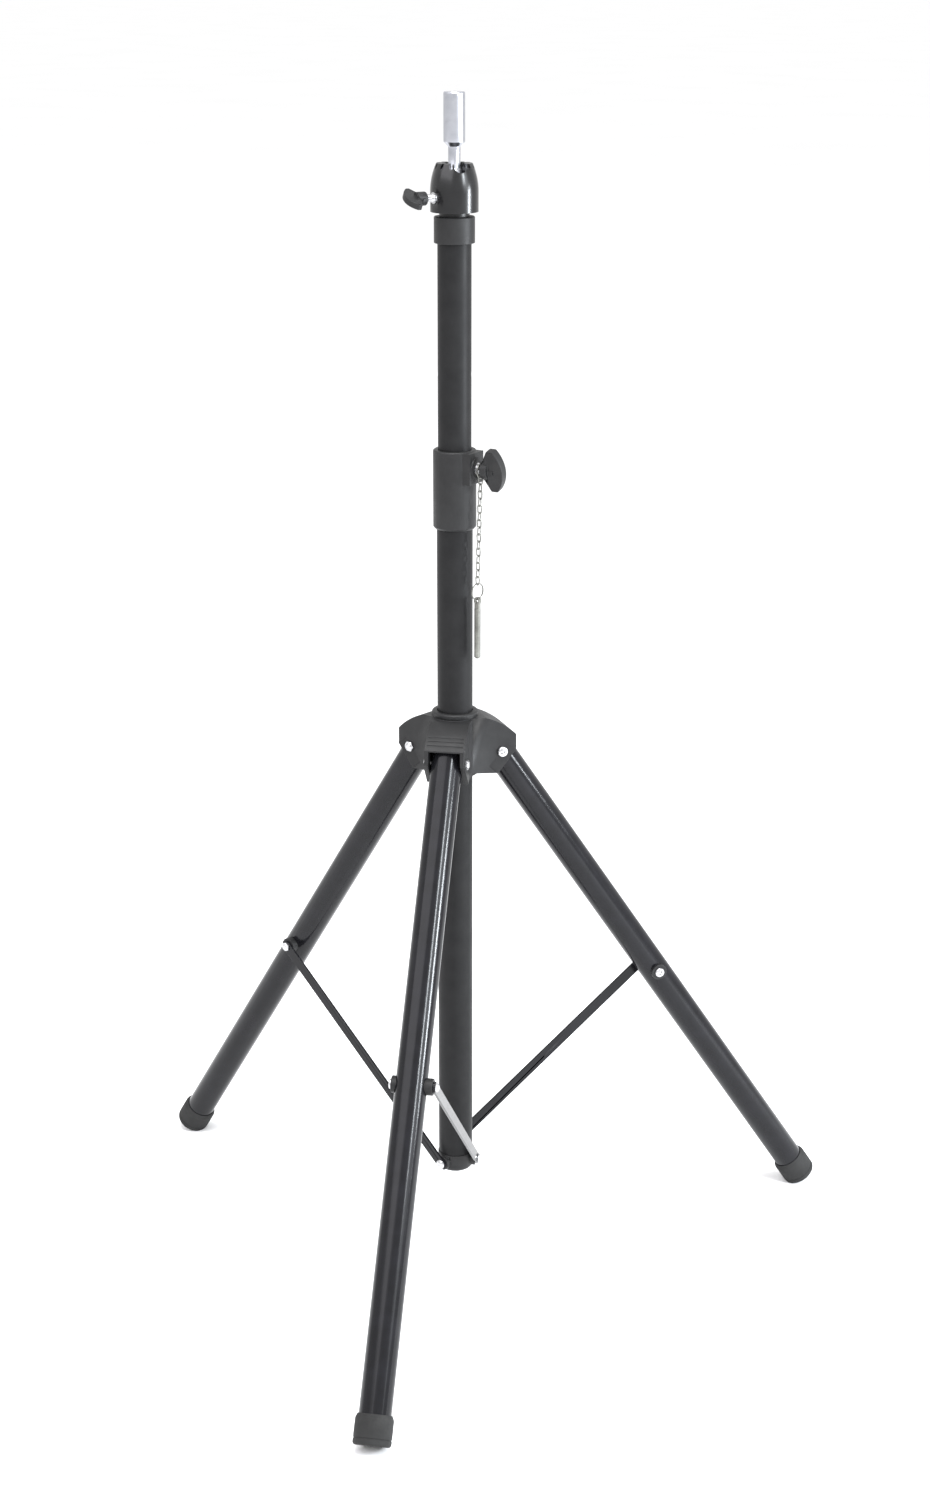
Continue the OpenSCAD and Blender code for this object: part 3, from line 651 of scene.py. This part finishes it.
ring_place = at_azimuth(HANG_AZIMUTH, SPLIT_Z) @ move(HANG_AT)
ring_path = []
COIL_POINTS, COIL_WIRE_R, COIL_TURNS = 144, 0.44, 2
for k in range(COIL_POINTS + 1):
    t = k / COIL_POINTS
    a = math.tau * COIL_TURNS * t + 0.6
    shift = 0.45 * math.tanh((t - 0.5) * 22)    # steps across from one turn to the next
    ring_path.append(ring_place @ Vector((shift, SPLIT_R * math.cos(a), SPLIT_R * math.sin(a))))
piece("split_ring_coil", sweep(ring_path, COIL_WIRE_R, sides=10), "split_ring", ["split_ring"],
      "zinc_chain")

# ---- CAD nodes that keep their own mesh ----

for node, slot in (("lower_tube", "mast_black"), ("upper_tube", "mast_black"),
                   ("head_stem", "stem_black"), ("clamp_insert", "bright_steel"),
                   ("clamp_pad", "insert_brass"), ("hub_insert", "insert_brass"),
                   ("hub_pad", "insert_brass"), ("head_insert", "bright_steel"),
                   ("head_pad", "insert_brass"), ("upper_tube_guide", "nylon"),
                   ("ball_seat", "nylon"), ("stem_screw", "bright_steel"),
                   ("stem_washer", "bright_steel"), ("leg_tube_1", "tube_black"),
                   ("leg_tube_2", "tube_black"), ("leg_tube_3", "tube_black"),
                   ("leg_plug_1", "plastic_black"), ("leg_plug_2", "plastic_black"),
                   ("leg_plug_3", "plastic_black")):
    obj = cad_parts[node]
    if not obj.material_slots:
        obj.data.materials.append(MATERIALS[slot])
    for material_slot in obj.material_slots:
        material_slot.material = MATERIALS[slot]

# ---- floor, light and camera ----

floor_mat, floor_tree, floor_bsdf = new_material("studio_floor")
floor_coords = floor_tree.nodes.new("ShaderNodeTexCoord").outputs["Object"]
floor_tone = spread(floor_tree, noise(floor_tree, floor_coords, 1.2), 0, 1)
floor_tree.links.new(blended(floor_tree, floor_tone, (0.88, 0.88, 0.88), (0.9, 0.9, 0.9)),
                     floor_bsdf.inputs["Base Color"])
floor_bsdf.inputs["Roughness"].default_value = 0.9
floor_bsdf.inputs["Specular IOR Level"].default_value = 0.1
FLOOR_R = 90
bpy.ops.mesh.primitive_circle_add(vertices=128, radius=FLOOR_R, fill_type="NGON", location=(0, 0, 0))
floor = bpy.context.object
floor.name = "studio_floor"
floor.data.materials.append(floor_mat)

world = bpy.data.worlds.new("studio")
scene.world = world
world.use_nodes = True
world.node_tree.nodes["Background"].inputs["Color"].default_value = (1.0, 1.0, 1.0, 1)
world.node_tree.nodes["Background"].inputs["Strength"].default_value = 1.12

CAMERA_AT = Vector((0.4888, -2.4178, 1.432))
FORWARD_AZIMUTH, PITCH_DOWN = 100.71, 18.03
LENS_MM, SENSOR_MM = 59.85, 36
AIM = Vector((0, 0.0, 0.35))
HEAD_LIFT = Vector((0, 0, 0.3))
WHITE, COOL, FAINT_COOL = (1, 1, 1), (0.9, 0.95, 1.0), (0.96, 0.95, 1.0)


def area_light(name, azimuth, elevation, distance, width, height, watts, aim, colour=WHITE):
    """A soft light that faces aim. Azimuth is in degrees to the right of the camera's side."""
    a = math.radians(FORWARD_AZIMUTH + 180 + azimuth)
    e = math.radians(elevation)
    out = Vector((math.cos(a) * math.cos(e), math.sin(a) * math.cos(e), math.sin(e)))
    light = bpy.data.lights.new(name, "AREA")
    light.shape = "RECTANGLE"
    light.size, light.size_y = width, height
    light.energy = watts
    light.color = colour
    obj = bpy.data.objects.new(name, light)
    scene.collection.objects.link(obj)
    obj.location = aim + out * distance
    obj.rotation_mode = "QUATERNION"
    obj.rotation_quaternion = (-out).to_track_quat("-Z", "Y")


# The strip and the edge light draw the front leg's two streaks; the rest fill in softly
area_light("strip_right", 51, 33, 4.2, 0.32, 1.7, 100, AIM, COOL)
area_light("edge_right", 78, 14, 2.4, 0.3, 0.62, 50, AIM, COOL)
area_light("panel_right", 60, 23, 4.2, 1.6, 1.9, 34, AIM, COOL)
area_light("soft_left", -45, 44, 4.5, 5.0, 2.7, 120, AIM, FAINT_COOL)
area_light("top_soft", 0, 74, 3.4, 1.6, 1.6, 110, AIM + HEAD_LIFT)

camera_data = bpy.data.cameras.new("camera")
camera_data.lens = LENS_MM
camera_data.sensor_width = SENSOR_MM
camera = bpy.data.objects.new("camera", camera_data)
scene.collection.objects.link(camera)
forward_a, pitch = math.radians(FORWARD_AZIMUTH), math.radians(PITCH_DOWN)
forward = Vector((math.cos(forward_a) * math.cos(pitch), math.sin(forward_a) * math.cos(pitch),
                  -math.sin(pitch)))
camera.location = CAMERA_AT
camera.rotation_mode = "QUATERNION"
camera.rotation_quaternion = forward.to_track_quat("-Z", "Y")
scene.camera = camera
scene.view_settings.view_transform = "Standard"
